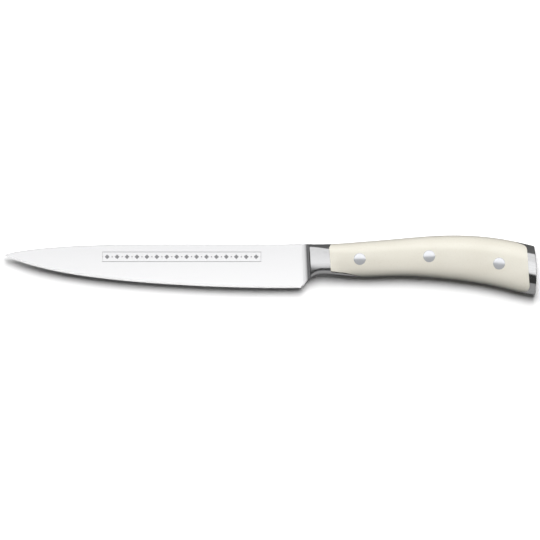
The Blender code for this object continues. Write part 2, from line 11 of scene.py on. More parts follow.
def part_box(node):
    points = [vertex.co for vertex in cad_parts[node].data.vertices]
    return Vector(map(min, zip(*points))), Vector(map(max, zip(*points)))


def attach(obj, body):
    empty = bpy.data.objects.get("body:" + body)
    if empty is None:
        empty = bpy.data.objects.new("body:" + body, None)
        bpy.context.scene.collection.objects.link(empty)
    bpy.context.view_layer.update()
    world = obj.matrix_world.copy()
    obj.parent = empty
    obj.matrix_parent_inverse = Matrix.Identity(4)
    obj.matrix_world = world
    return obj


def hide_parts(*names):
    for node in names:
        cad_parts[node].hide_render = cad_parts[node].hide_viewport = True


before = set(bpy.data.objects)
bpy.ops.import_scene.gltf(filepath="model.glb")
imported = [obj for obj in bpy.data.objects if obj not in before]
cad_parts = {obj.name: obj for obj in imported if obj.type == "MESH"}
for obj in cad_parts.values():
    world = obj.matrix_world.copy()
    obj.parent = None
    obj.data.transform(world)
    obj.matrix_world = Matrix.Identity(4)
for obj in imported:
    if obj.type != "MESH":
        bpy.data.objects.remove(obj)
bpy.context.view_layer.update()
scene = bpy.context.scene
mm = 0.001
weldGap = 1e-7  # metres

# Shapes are drawn in the knife's own axes, in millimetres: x from the point (-) to the butt (+),
# 0 at the shoulder; y up to the spine; z out of the left side.

blade = {
    "length": 161.7,
    "heelDepth": 23.05,
    "spineFall": (82.2, 2.67, 2.49, 5),  # run, slow part, fast part, its power
    "edgeRise": (145.8, 10.1, 1.8, 6.71, 6),  # run, slow part, its power, fast part, its power
    "spineLiftRun": 9.0,  # where the spine rises to the bolster's top
    "heelSetback": 4.3,
    "heelTopSetback": 0.55,
    "heelTopDepth": 17.85,
    "heelCornerRadius": 1.0,
    "spineThickness": 2.1,
    "spineTaper": 0.0024,
    "grindSlope": 0.044,  # the most that the sides lean, so that the point is ground thin
    "edgeThickness": 0.28,
    "edgeEvenShare": 0.5,  # share of the bent stretch after which the edge is even in thickness
    "apexThickness": 0.03,
    "bevelHeight": 0.8,
    "bevelShare": 0.25,  # the most of the blade's depth that the bevel takes near the point
    "paintedHighlightShare": 0.7,  # lower part of the bevel that gets a painted highlight, near-white and not metallic
    "spineRound": 0.22,
    "spineRoundMost": (0.6, 10),  # share of the half thickness, part of the depth
    "spineInnerPoint": 0.6,  # a row of points on the spine's flat
    "heelChamfer": (0.26, 4.7),  # off the half thickness, and height over that
    "heelEase": (-0.2, 0.4),  # where the bevel gives way to that chamfer, from the heel's corner
    "spineSink": 0.02,  # under the bolster's top, so that the two don't lie in one plane
    "faceRows": 14,
    "rowInset": 0.012,  # the first and last rows lie close to the side's borders
    "roundSteps": 4,
    "tipSteps": (2, 8),  # first step and all steps of the rounded point
    "stationSteps": (90, 60, 36),  # bent stretch, straight stretch, heel
    "smoothAngle": 35,
}

handle = {
    "shoulderSlant": 2.6,
    "shoulderShift": 0.4,
    "shoulderBreak": 0.12,
    "bolsterLength": 10.8,
    "choilRunIn": 2.9,
    "choilSetback": 8.4,
    "choilRoundingRun": 1.3,  # how soon the underside gets rounder behind the heel
    "rivetSpacing": (15.9, 36.9, 37.2, 20.0),  # joint, front, middle, rear, butt
    "buttBowRadius": 82.0,
    "buttBowHeight": 15.2,
    "buttRimRadius": 0.6,
    "buttRimTurn": 3 / 8,  # of a half turn: stops short of square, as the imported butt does
    "buttFlatEdge": 0.25,  # a last ring on the flat end
    "tops": (0.28, 0.28, 1.36, 2.86, 4.42, 4.78, 3.12, -0.80),  # at topPlaces
    "depths": (17.4, 16.0, 15.5, 16.3, 17.02, 16.65, 17.35, 19.3, 22.6, 25.0, 26.8),  # at bottomPlaces
    "widths": (11.0, 14.6, 16.6, 16.2),  # shoulder, front rivet, middle rivet, butt
    "landShare": 0.3,  # straight middle part of a section's side
    "squareness": {
        "shoulder": 4.6, "joint": 2.8, "grip": 2.4, "butt": 2.3,  # above
        "heel": 14.0, "choil": 6.6, "under": 3.2, "buttUnder": 3.1,  # underneath
    },
    # roundness at bolster, front of the scales, middle, butt: drop per mm squared, above and below its line
    "crownAbove": (0.004, 0.0145, 0.012, 0.006),
    "crownBelow": (0.0103, 0.0145, 0.012, 0.0070),
    "crownLine": (7.5, 4.6, 7.6, 8.0),  # mm below the top
    "crownRun": 5.0,  # how soon the roundness changes behind the joint
    "clearOfBox": 0.004,  # all round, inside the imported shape
    "filletSink": 0.002,  # under the blade's side, where the fillet runs out
    "heelStep": 0.25,  # how far the underside starts above the heel's line
    "boxSamples": 400,
    "sectionSteps": 30,
    "landSteps": 6,
    "stationSteps": {"fillet": 30, "bolster": 16, "frontGrip": 16, "grip": 44, "rearGrip": 18, "rim": 6},
    "smoothAngle": 32,
}

joints = {
    "tangThickness": 3.0,
    "slant": 4.5,
    "shift": 0.15,
    "topCorner": (1.9, 0.6, 1.2),  # where the scale starts: height, length, corner
    "overTop": 0.02,  # how far the short slants at the top run past the surface
    "ledgeHeight": 1.0,
    "ledgeGap": 0.36,  # wider than the other joints
    "ledgeRun": 8.0,
    "ledgeCorner": 0.9,
    "ledgeEnd": 1.0,  # behind the front rivet
    "capLength": 4.4,
    "capSlant": 4.0,
    "capStripHeight": 0.8,
    "capStripRun": 9.0,
    "capCorner": 3.0,
    "capSliver": (1.0, 7.6, 3.2),  # steel above the scale's rear end: height, length, corner
    "cornerSteps": 16,
    "hairline": 0.035,  # what shows of a joint between the scale and the steel
    "outside": 20.0,  # how far the cutting shapes run past the knife
    "floor": (0.99, 0.01),  # how square and how near a face is that counts as a pocket's floor
}

tipX = -blade["length"]
flatStartX = tipX + blade["spineFall"][0]
jointX = handle["bolsterLength"]
frontX = jointX + handle["rivetSpacing"][0]
middleX = frontX + handle["rivetSpacing"][1]
rearX = middleX + handle["rivetSpacing"][2]
buttX = rearX + handle["rivetSpacing"][3]
waistX, humpX, flareX = (frontX + middleX) / 2, (middleX + rearX) / 2, (rearX + buttX) / 2
choilRearX = (handle["choilSetback"] + frontX) / 2
filletRadius = (handle["widths"][0] - blade["spineThickness"]) / 2
heelSlope = (blade["heelDepth"] - blade["heelTopDepth"]) / (blade["heelSetback"] - blade["heelTopSetback"])
bolsterTop = handle["tops"][0]
bolsterMiddle = -(handle["depths"][0] - bolsterTop) / 2
shoulderLean = math.tan(math.radians(handle["shoulderSlant"]))
tangHalf = joints["tangThickness"] / 2


def smoothCurve(points):
    # natural cubic spline through (x, y) points
    xs, ys = np.array(points, float).T
    runs = np.diff(xs)
    slopes = np.diff(ys) / runs
    count = len(xs)
    matrix, right = np.eye(count), np.zeros(count)
    for i in range(1, count - 1):
        matrix[i, i - 1 : i + 2] = runs[i - 1], 2 * (runs[i - 1] + runs[i]), runs[i]
        right[i] = 6 * (slopes[i] - slopes[i - 1])
    bends = np.linalg.solve(matrix, right)

    def heightAt(x):
        i = int(np.clip(np.searchsorted(xs, x) - 1, 0, count - 2))
        before = (xs[i + 1] - x) / runs[i]
        after = 1 - before
        cubic = (before**3 - before) * bends[i] + (after**3 - after) * bends[i + 1]
        return float(before * ys[i] + after * ys[i + 1] + cubic * runs[i] ** 2 / 6)

    return heightAt


def eased(x, start, end):
    share = min(max((x - start) / (end - start), 0.0), 1.0)
    return share * share * (3 - 2 * share)


def blendAlong(x, values, places):
    value = values[0]
    for i in range(1, len(values)):
        value += (values[i] - values[i - 1]) * eased(x, places[i - 1], places[i])
    return value


def spread(start, end, steps):
    return [start + (end - start) * i / steps for i in range(steps)]


def heelLineAt(x):
    # where a slanted section at this station meets the heel's straight line
    line = -blade["heelDepth"] + heelSlope * (x + shoulderLean * bolsterMiddle + blade["heelSetback"])
    return line / (1 + heelSlope * shoulderLean)


topPlaces = (-filletRadius, jointX, frontX, waistX, middleX, humpX, rearX, buttX)
bottomPlaces = (
    0, handle["choilRunIn"], handle["choilSetback"], choilRearX,
    frontX, waistX, middleX, humpX, rearX, flareX, buttX,
)
heelPoints = [
    (-filletRadius, heelLineAt(-filletRadius) + handle["heelStep"]),
    (-filletRadius / 3, heelLineAt(-filletRadius / 3)),
]
handleTop = smoothCurve(list(zip(topPlaces, handle["tops"])))
handleBottom = smoothCurve(heelPoints + [(x, -depth) for x, depth in zip(bottomPlaces, handle["depths"])])


def handleHalfWidth(x):
    # straight between the front and middle rivets, drawn in by a parabola at each end
    shoulder, front, middle, butt = (width / 2 for width in handle["widths"])
    slope = (middle - front) / (middleX - frontX)
    frontFall = front - shoulder - slope * frontX
    rearFall = middle - butt + slope * (buttX - middleX)
    ahead = max((frontX - x) / frontX, 0.0)
    behind = max((x - middleX) / (buttX - middleX), 0.0)
    return front + slope * (x - frontX) - frontFall * ahead**2 - rearFall * behind**2


def crownDrop(x, y):
    # gentle roundness of the ground sides
    places = (jointX, jointX + handle["crownRun"], middleX, buttX)
    rise = y - handleTop(x) + blendAlong(x, handle["crownLine"], places)
    return blendAlong(x, handle["crownAbove" if rise > 0 else "crownBelow"], places) * rise**2


def topSquareness(x):
    square = handle["squareness"]
    front = square["shoulder"] + (square["joint"] - square["shoulder"]) * eased(x, 0, jointX)
    grip = front + (square["grip"] - front) * eased(x, jointX, frontX)
    return grip + (square["butt"] - grip) * eased(x, middleX, buttX)


def bottomSquareness(x):
    square = handle["squareness"]
    fade = math.exp(-max(x + blade["heelTopSetback"], 0.0) / handle["choilRoundingRun"])
    front = square["choil"] + (square["heel"] - square["choil"]) * fade
    grip = front + (square["under"] - front) * eased(x, jointX, frontX)
    return grip + (square["buttUnder"] - grip) * eased(x, middleX, buttX)


def spineHeight(x):
    run, slow, fast, power = blade["spineFall"]
    share = max((flatStartX - x) / run, 0.0)
    lift = (bolsterTop - blade["spineSink"]) * eased(x, -filletRadius - blade["spineLiftRun"], -filletRadius)
    return lift - slow * share**2 - fast * share**power


def edgeHeight(x):
    run, slow, slowPower, fast, fastPower = blade["edgeRise"]
    share = max((tipX + run - x) / run, 0.0)
    return -blade["heelDepth"] + slow * share**slowPower + fast * share**fastPower


def heelHeight(x):
    # lower line of the heel: a corner arc, then straight up to the bolster
    radius, setback, depth = blade["heelCornerRadius"], blade["heelSetback"], blade["heelDepth"]
    turn = math.atan(heelSlope)
    start = -setback - radius * math.tan(turn / 2)
    if x <= start:
        return -depth
    if x >= start + radius * math.sin(turn):
        return -depth + heelSlope * (x + setback)
    return -depth + radius - math.sqrt(radius**2 - (x - start) ** 2)


def sidePlane(x, y):
    slope = (blade["spineThickness"] - blade["edgeThickness"]) / blade["heelDepth"] / 2
    return blade["spineThickness"] / 2 + slope * y + blade["spineTaper"] * x / 2


def bladeHalfThickness(x, y):
    spine, edge = spineHeight(x), edgeHeight(x)
    share = max((flatStartX - x) / blade["spineFall"][0], 0.0)
    atEdge = sidePlane(x, edge)
    thinEdge = atEdge + (blade["edgeThickness"] / 2 - atEdge) * eased(share, 0, blade["edgeEvenShare"])
    slope = min((sidePlane(x, spine) - thinEdge) / (spine - edge), blade["grindSlope"])
    return thinEdge + slope * (y - edge)


def knifeOffset():
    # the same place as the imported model: outline centred, resting on z = 0
    samples = [buttX * i / handle["boxSamples"] for i in range(handle["boxSamples"] + 1)]
    highest, lowest = max(map(handleTop, samples)), min(map(handleBottom, samples))
    return Vector((-(buttX + tipX) / 2, -(highest + lowest) / 2, max(map(handleHalfWidth, samples))))


offset = knifeOffset()
packedTip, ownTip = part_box("forged_blade_and_tang")[0].x / mm, tipX + offset.x
print("knife origin", [round(v, 3) for v in offset], "packed tip", round(packedTip, 3), "own", round(ownTip, 3))


def placeObject(name, data, location=(0, 0, 0)):
    thing = bpy.data.objects.new(name, data)
    thing.location = location
    scene.collection.objects.link(thing)
    return thing


def newPiece(name, verts, faces):
    mesh = bpy.data.meshes.new(name)
    mesh.from_pydata([Vector(v) * mm for v in verts], [], faces)
    work = bmesh.new()
    work.from_mesh(mesh)
    bmesh.ops.remove_doubles(work, verts=work.verts, dist=weldGap)
    bmesh.ops.recalc_face_normals(work, faces=work.faces)
    work.to_mesh(mesh)
    work.free()
    return placeObject(name, mesh, offset * mm)


def skinRings(rings, closed=True):
    size = len(rings[0])
    verts = [point for ring in rings for point in ring]
    faces = []
    for i in range(len(rings) - 1):
        for j in range(size if closed else size - 1):
            k = (j + 1) % size
            faces.append((i * size + j, i * size + k, (i + 1) * size + k, (i + 1) * size + j))
    return verts, faces


def capStrips(first, size, half):
    # closes a ring that is the same on both sides, in strips across it from its topmost point down
    strips = [(first, first + 1, first + size - 1)]
    for j in range(1, half - 1):
        strips.append((first + j, first + j + 1, first + size - j - 1, first + size - j))
    return strips


def cutWith(piece, tool, operation):
    modifier = piece.modifiers.new("cut", "BOOLEAN")
    modifier.operation, modifier.object, modifier.solver = operation, tool, "EXACT"
    bpy.context.view_layer.update()
    graph = bpy.context.evaluated_depsgraph_get()
    mesh = bpy.data.meshes.new_from_object(piece.evaluated_get(graph))
    piece.modifiers.clear()
    piece.data = mesh


def cutOut(piece, tool):
    cutWith(piece, tool, "DIFFERENCE")
    bpy.data.objects.remove(tool)


def smoothByAngle(piece, degrees):
    piece.data.shade_smooth()
    piece.data.set_sharp_from_angle(angle=math.radians(degrees))


borrowing = {
    "reach": 0.00002,  # metres off the surface that still count as on it
    "facing": 0.8,  # cosine of the angle between the two faces
    "inward": 0.02,  # looks a little inside the corner, so that a border face isn't missed
}


def borrowNormals(piece, source):
    # the ground surface's own smooth normals, for every corner that lies on it
    mesh, ground = piece.data, source.data
    points = [v.co.copy() for v in ground.vertices]
    ground.calc_loop_triangles()
    triangles = [tuple(t.vertices) for t in ground.loop_triangles]
    tree = BVHTree.FromPolygons(points, triangles)
    corners = [Vector(n.vector) for n in ground.corner_normals]
    loops = [tuple(t.loops) for t in ground.loop_triangles]
    normals = [Vector(n.vector) for n in mesh.corner_normals]
    facing, inward = borrowing["facing"], borrowing["inward"]
    for face in mesh.polygons:
        _, flat, _, gap = tree.find_nearest(face.center)
        if gap > borrowing["reach"] or flat.dot(face.normal) < facing:
            continue
        for i in face.loop_indices:
            place = mesh.vertices[mesh.loops[i].vertex_index].co
            near, flat, index, _ = tree.find_nearest(place * (1 - inward) + face.center * inward)
            triangle = [points[k] for k in triangles[index]]
            if flat.dot(face.normal) > facing:
                own = [corners[k] for k in loops[index]]
                normals[i] = barycentric_transform(near, *triangle, *own).normalized()
    mesh.normals_split_custom_set(normals)


noiseReach = (0.3, 0.7)  # the noise seldom goes past these


def nodeMaterial(name):
    material = bpy.data.materials.new(name)
    material.use_nodes = True
    nodes, links = material.node_tree.nodes, material.node_tree.links
    return material, nodes, links, nodes["Principled BSDF"]


def addNode(nodes, kind, **settings):
    node = nodes.new(kind)
    for key, value in settings.items():
        setattr(node, key, value)
    return node


def feed(links, socket, value):
    # a number is set on the socket, an output is linked to it
    if isinstance(value, (int, float)):
        socket.default_value = value
    else:
        links.new(value, socket)


def mathNode(nodes, links, operation, first, second=None):
    node = addNode(nodes, "ShaderNodeMath", operation=operation)
    feed(links, node.inputs[0], first)
    if second is not None:
        feed(links, node.inputs[1], second)
    return node.outputs[0]


def mixValues(nodes, links, factor, first, second):
    mix = addNode(nodes, "ShaderNodeMix")
    for name, value in (("Factor", factor), ("A", first), ("B", second)):
        feed(links, mix.inputs[name], value)
    return mix.outputs["Result"]


def splitAxes(nodes, links, kind):
    place = addNode(nodes, "ShaderNodeTexCoord")
    split = addNode(nodes, "ShaderNodeSeparateXYZ")
    links.new(place.outputs[kind], split.inputs["Vector"])
    return split.outputs


def brushLines(nodes, links, scales, detail=3):
    # long streaks: noise squeezed differently along each axis, in the knife's own axes
    place = addNode(nodes, "ShaderNodeTexCoord")
    squeeze = addNode(nodes, "ShaderNodeMapping")
    squeeze.inputs["Scale"].default_value = scales
    links.new(place.outputs["Object"], squeeze.inputs["Vector"])
    noise = addNode(nodes, "ShaderNodeTexNoise")
    noise.inputs["Scale"].default_value = 1.0
    noise.inputs["Detail"].default_value = detail
    links.new(squeeze.outputs["Vector"], noise.inputs["Vector"])
    return noise.outputs["Fac"]


def rangeNode(nodes, links, value, target, source=noiseReach, **settings):
    node = addNode(nodes, "ShaderNodeMapRange", **settings)
    for name, number in zip(("From Min", "From Max", "To Min", "To Max"), (*source, *target)):
        node.inputs[name].default_value = number
    links.new(value, node.inputs["Value"])
    return node.outputs["Result"]


def tintBetween(nodes, links, factor, colours, reach=noiseReach):
    ramp = addNode(nodes, "ShaderNodeValToRGB")
    for element, colour, place in zip(ramp.color_ramp.elements, colours, reach):
        element.position, element.color = place, (*colour, 1)
    links.new(factor, ramp.inputs["Fac"])
    return ramp.outputs["Color"]


def bumpFrom(nodes, links, shader, height, strength, distance):
    bump = addNode(nodes, "ShaderNodeBump")
    bump.inputs["Strength"].default_value = strength
    bump.inputs["Distance"].default_value = distance
    links.new(height, bump.inputs["Height"])
    links.new(bump.outputs["Normal"], shader.inputs["Normal"])


def setFinish(links, shader, colour, roughness, metallic=0.0):
    links.new(colour, shader.inputs["Base Color"])
    links.new(roughness, shader.inputs["Roughness"])
    shader.inputs["Metallic"].default_value = metallic


bladeFinish = {
    "colours": ((0.82, 0.82, 0.83), (0.92, 0.92, 0.925)),  # painted light: darker near the spine, brighter near the edge
    "lineContrast": 0.12,
    "lineScales": (5000, 160, 900),  # fine lines across the blade
    "roughness": (0.195, 0.205),
    "metallic": 0.86,
    "bump": (0.02, 0.00001),
    "etchColour": (0.36, 0.36, 0.37),
    "etchRoughness": 0.4,
    "etchX": (-110.2, -25.72),
    "etchY": -6.5,
    "etchPitch": 5.28,
    "etchMarks": ((0.0, 1.3, 1.25), (0.5, 0.45, 0.45)),  # lozenge, dot: shift, half length, half height
    "etchHalfHeight": 2.55,
    "etchLineWidth": 0.28,
}


def etchMask(nodes, links):
    # a plain border: lozenges and dots in a hairline frame, on the left side only
    def calc(operation, first, second=None):
        return mathNode(nodes, links, operation, first, second)

    finish = bladeFinish
    x, y, z = splitAxes(nodes, links, "Object")
    start, end = (place * mm for place in finish["etchX"])
    along = calc("SUBTRACT", x, start)
    toEnd = calc("SUBTRACT", end - start, along)
    height = calc("ABSOLUTE", calc("SUBTRACT", y, finish["etchY"] * mm))
    toBorder = calc("SUBTRACT", finish["etchHalfHeight"] * mm, height)
    inset = calc("MINIMUM", toBorder, calc("MINIMUM", along, toEnd))
    marks = calc("LESS_THAN", calc("ABSOLUTE", inset), finish["etchLineWidth"] * mm / 2)
    for shift, halfLength, halfHeight in finish["etchMarks"]:
        steps = calc("ADD", calc("DIVIDE", along, finish["etchPitch"] * mm), shift)
        fromMiddle = calc("ABSOLUTE", calc("SUBTRACT", calc("FRACT", steps), 0.5))
        wide = calc("MULTIPLY", fromMiddle, finish["etchPitch"] / halfLength)
        high = calc("DIVIDE", height, halfHeight * mm)
        marks = calc("MAXIMUM", marks, calc("LESS_THAN", calc("ADD", wide, high), 1.0))
    within = calc("MULTIPLY", calc("GREATER_THAN", along, 0.0), calc("LESS_THAN", along, end - start))
    leftSide = calc("GREATER_THAN", z, 0.0)
    return calc("MULTIPLY", calc("MULTIPLY", marks, within), leftSide)


def bladeColourWithPaintedLight(nodes, links, lines):
    # painted light: brighter towards the edge and darker near the spine, with faint grinding lines
    y = splitAxes(nodes, links, "Object")["Y"]
    down = rangeNode(nodes, links, y, (0.0, 1.0), source=(0.0, -blade["heelDepth"] * mm))
    evenLines = mathNode(nodes, links, "SUBTRACT", lines, 0.5)
    wave = mathNode(nodes, links, "MULTIPLY", evenLines, bladeFinish["lineContrast"])
    share = mathNode(nodes, links, "ADD", down, wave)
    return tintBetween(nodes, links, share, bladeFinish["colours"], reach=(0.0, 1.0))


def satinBladeSteel():
    material, nodes, links, shader = nodeMaterial("satinBladeSteel")
    finish = bladeFinish
    lines = brushLines(nodes, links, finish["lineScales"])
    mask = etchMask(nodes, links)
    etched = addNode(nodes, "ShaderNodeMix", data_type="RGBA")
    links.new(mask, etched.inputs["Factor"])
    links.new(bladeColourWithPaintedLight(nodes, links, lines), etched.inputs["A"])
    etched.inputs["B"].default_value = (*finish["etchColour"], 1)
    ground = rangeNode(nodes, links, lines, finish["roughness"])
    marked = mathNode(nodes, links, "MULTIPLY", mask, finish["etchRoughness"])
    rough = mathNode(nodes, links, "MAXIMUM", ground, marked)
    setFinish(links, shader, etched.outputs["Result"], rough, finish["metallic"])
    bumpFrom(nodes, links, shader, lines, *finish["bump"])
    return material


# painted highlight: a near-white dull finish on the lower bevel, so the edge reads as a bright line
edgeHighlightFinish = {
    "lineScales": (12000, 3000, 3000),
    "colours": ((0.96, 0.96, 0.965), (0.99, 0.99, 0.99)),
    "roughness": (0.40, 0.55),
}
jointShadeFinish = {  # painted shade: near-black at the bottom of the fine joints round the scales
    "lineScales": (2500, 2500, 2500),
    "colours": ((0.018, 0.017, 0.015), (0.035, 0.033, 0.030)),
    "roughness": (0.55, 0.75),
}


def streakedFinish(name, finish):
    # colour and roughness both follow one set of streaks
    material, nodes, links, shader = nodeMaterial(name)
    lines = brushLines(nodes, links, finish["lineScales"])
    colour = tintBetween(nodes, links, lines, finish["colours"])
    setFinish(links, shader, colour, rangeNode(nodes, links, lines, finish["roughness"]))
    return material


steelFinish = {
    "lineScales": (300, 2600, 2600),
    "colours": ((0.66, 0.66, 0.67), (0.72, 0.72, 0.725)),
    "wallFacing": (-0.95, -0.62),  # normals along the knife that count as the fillet's steep wall, which gets painted shade
    "paintedWallShade": (0.25, 1.0),
    "bolsterRoughness": (0.13, 0.18),  # rubbed with a fine belt
    "capRoughness": 0.05,  # buffed brighter
    "metallic": 1.0,
    "bump": (0.03, 0.00001),
}


def polishedSteel():
    material, nodes, links, shader = nodeMaterial("polishedSteel")
    finish = steelFinish
    lines = brushLines(nodes, links, finish["lineScales"])
    facing = splitAxes(nodes, links, "Normal")["X"]
    # painted shade: the fillet's steep wall, turned towards the point, darkened to a quarter
    paintedShade = rangeNode(nodes, links, facing, finish["paintedWallShade"], source=finish["wallFacing"])
    shaded = addNode(nodes, "ShaderNodeVectorMath", operation="SCALE")
    links.new(tintBetween(nodes, links, lines, finish["colours"]), shaded.inputs["Vector"])
    links.new(paintedShade, shaded.inputs["Scale"])
    x = splitAxes(nodes, links, "Object")["X"]
    onCap = mathNode(nodes, links, "GREATER_THAN", x, middleX * mm)
    belt = rangeNode(nodes, links, lines, finish["bolsterRoughness"])
    rough = mixValues(nodes, links, onCap, belt, finish["capRoughness"])
    setFinish(links, shader, shaded.outputs["Vector"], rough, finish["metallic"])
    bumpFrom(nodes, links, shader, lines, *finish["bump"])
    return material


acetalFinish = {
    "cloudScales": (60, 140, 140),
    "cloudDetail": 4,
    "colours": ((0.745, 0.712, 0.622), (0.785, 0.755, 0.667)),
    "fineScales": (1400, 2600, 2600),
    "roughness": (0.26, 0.34),
    "gloss": 0.7,
    "glossTint": (0.78, 0.95, 1.0, 1.0),
    "bump": (0.05, 0.00001),
}


def creamAcetal():
    material, nodes, links, shader = nodeMaterial("creamAcetal")
    finish = acetalFinish
    cloud = brushLines(nodes, links, finish["cloudScales"], detail=finish["cloudDetail"])
    fine = brushLines(nodes, links, finish["fineScales"])
    colour = tintBetween(nodes, links, cloud, finish["colours"])
    setFinish(links, shader, colour, rangeNode(nodes, links, fine, finish["roughness"]))
    shader.inputs["Specular IOR Level"].default_value = finish["gloss"]
    shader.inputs["Specular Tint"].default_value = finish["glossTint"]
    bumpFrom(nodes, links, shader, fine, *finish["bump"])
    return material


rivetFinish = {
    "ringScale": 900,
    "ringWobble": 1.5,
    "colours": ((0.815, 0.83, 0.865), (0.835, 0.85, 0.885)),
    "roughness": (0.12, 0.15),
    "metallic": 0.55,
}


def rivetSteel():
    # fine rings, as the turned head has them
    material, nodes, links, shader = nodeMaterial("rivetSteel")
    finish = rivetFinish
    place = addNode(nodes, "ShaderNodeTexCoord")
    rings = addNode(nodes, "ShaderNodeTexWave", wave_type="RINGS", rings_direction="Z")
    rings.inputs["Scale"].default_value = finish["ringScale"]
    rings.inputs["Distortion"].default_value = finish["ringWobble"]
    links.new(place.outputs["Object"], rings.inputs["Vector"])
    colour = tintBetween(nodes, links, rings.outputs["Fac"], finish["colours"])
    rough = rangeNode(nodes, links, rings.outputs["Fac"], finish["roughness"])
    setFinish(links, shader, colour, rough, finish["metallic"])
    return material


def bladePoint():
    radius = (spineHeight(tipX) - edgeHeight(tipX)) / 2
    x = tipX + radius
    return x, (spineHeight(x) + edgeHeight(x)) / 2, radius


def bladeProfile(x):
    # one side's (y, half thickness), from the middle of the spine down to the apex
    centre, middle, radius = bladePoint()
    if x < centre:
        half = math.sqrt(max(radius**2 - (centre - x) ** 2, 0.0))
        spine, edge = middle + half, middle - half
        atSpine = atShoulder = bladeHalfThickness(centre, spineHeight(centre)) * half / radius
        apex = min(blade["apexThickness"] / 2, atSpine / 2)
        shoulder = edge + half * blade["bevelHeight"] / radius / 2
    else:
        spine, edge = spineHeight(x), max(edgeHeight(x), heelHeight(x))
        easeStart, easeEnd = (place - blade["heelSetback"] for place in blade["heelEase"])
        atHeel = eased(x, easeStart, easeEnd)
        depth = min(blade["heelChamfer"][0], bladeHalfThickness(x, edge) - blade["apexThickness"] / 2)
        height = depth * blade["heelChamfer"][1]
        bevel = blade["bevelHeight"] * min(1, (spine - edge) * blade["bevelShare"] / blade["bevelHeight"])
        chamferLine = heelSlope * (x + blade["heelSetback"]) - blade["heelDepth"] + height
        shoulder = max(edge + bevel * (1 - atHeel), chamferLine)
        atSpine, atShoulder = bladeHalfThickness(x, spine), bladeHalfThickness(x, shoulder)
        apex = blade["apexThickness"] / 2
        apex += max(atShoulder - depth * (shoulder - edge) / height - apex, 0.0) * atHeel
    thicknessShare, depthPart = blade["spineRoundMost"]
    corner = min(blade["spineRound"], atSpine * thicknessShare, (spine - edge) / depthPart)
    points = [(spine, 0.0), (spine, (atSpine - corner) * blade["spineInnerPoint"])]
    for i in range(blade["roundSteps"] + 1):
        turn = math.pi / 2 * i / blade["roundSteps"]
        points.append((spine - corner * (1 - math.cos(turn)), atSpine - corner * (1 - math.sin(turn))))
    faceTop = spine - corner
    inner = [i / blade["faceRows"] for i in range(1, blade["faceRows"])]
    for share in [blade["rowInset"]] + inner + [1 - blade["rowInset"]]:
        points.append((faceTop + (shoulder - faceTop) * share, atSpine + (atShoulder - atSpine) * share))
    return points + [(shoulder, atShoulder), (edge, apex)]


def bladeStations():
    centre, _, radius = bladePoint()
    first, tipSteps = blade["tipSteps"]
    bentSteps, straightSteps, heelSteps = blade["stationSteps"]
    tip = [centre - radius * math.cos(math.pi / 2 * i / tipSteps) for i in range(first, tipSteps)]
    heelEdge = -blade["heelSetback"] - blade["heelCornerRadius"]
    body = spread(centre, flatStartX, bentSteps) + spread(flatStartX, heelEdge, straightSteps)
    heel = spread(heelEdge, -blade["heelTopSetback"], heelSteps)
    return tip + body + heel + [-blade["heelTopSetback"], filletRadius / 4]  # ends inside the bolster


def makeBlade():
    stations = bladeStations()
    profiles = [bladeProfile(x) for x in stations]
    rings = []
    for x, profile in zip(stations, profiles):
        left = [(x, y, z) for y, z in profile]
        rings.append(left + [(x, y, -z) for y, z in reversed(profile[1:])])
    verts, faces = skinRings(rings)
    size, half = len(rings[0]), len(profiles[0])
    for first in (0, size * (len(rings) - 1)):
        faces += capStrips(first, size, half)
    piece = newPiece("blade", verts, faces)
    piece.data.materials.append(satinBladeSteel())
    piece.data.materials.append(streakedFinish("paintedEdgeHighlight", edgeHighlightFinish))
    smoothByAngle(piece, blade["smoothAngle"])
    pointEnd, heelStart = bladePoint()[0], -blade["heelSetback"] + blade["heelEase"][0]
    # the lower bevel gets the painted highlight
    for face in piece.data.polygons:
        x, y, z = face.center / mm
        onEdge = y < edgeHeight(x) + blade["bevelHeight"] * blade["paintedHighlightShare"] and z * face.normal.z > 0
        if onEdge and pointEnd < x < heelStart:
            face.material_index = 1
    borders = {}
    for face in piece.data.polygons:
        for key in face.edge_keys:
            borders.setdefault(key, set()).add(face.material_index)
    for edge in piece.data.edges:
        if len(borders[edge.key]) == 2:
            edge.use_edge_sharp = True
    return piece


def leanAt(x, y):
    # how far a section leans along the knife: the slanted shoulder in front, the bowed butt behind
    shoulder = (shoulderLean * (bolsterMiddle - y) + handle["shoulderShift"]) * (1 - eased(x, 0, frontX))
    bow = (y + handle["buttBowHeight"]) ** 2 / (2 * handle["buttBowRadius"])
    return shoulder - bow * max((x - rearX) / (buttX - rearX), 0.0) ** 2


def filletLimit(x, y):
    fromToe = filletRadius + min(x, 0.0)
    return sidePlane(x, y) - handle["filletSink"] + filletRadius - math.sqrt(filletRadius**2 - fromToe**2)


def handleSection(x, inset):
    top, bottom = handleTop(x) - inset, handleBottom(x) + inset
    halfWidth = handleHalfWidth(max(x, 0.0)) - inset
    middle, halfHeight = (top + bottom) / 2, (top - bottom) / 2
    land = handle["landShare"] * halfHeight
    steps, landSteps = handle["sectionSteps"], handle["landSteps"]
    side = []

    def addPoint(y, share):
        z = (halfWidth - crownDrop(x, y)) * share
        if x <= 0:
            z = min(z, filletLimit(x, y))
        side.append((x + leanAt(x, y), y, z))

    def roundedPoint(j, power):
        angle = math.pi / 2 * j / steps
        return (halfHeight - land) * math.sin(angle) ** power, max(math.cos(angle), 0.0) ** power

    for j in range(steps, -1, -1):
        rise, share = roundedPoint(j, 2 / topSquareness(x))
        addPoint(middle + land + rise, share)
    for j in range(1, landSteps):
        addPoint(middle + land * (1 - 2 * j / landSteps), 1.0)
    for j in range(steps + 1):
        fall, share = roundedPoint(j, 2 / bottomSquareness(x))
        addPoint(middle - land - fall, share)
    side[0], side[-1] = (*side[0][:2], 0.0), (*side[-1][:2], 0.0)
    return side + [(px, py, -pz) for px, py, pz in reversed(side[1:-1])]


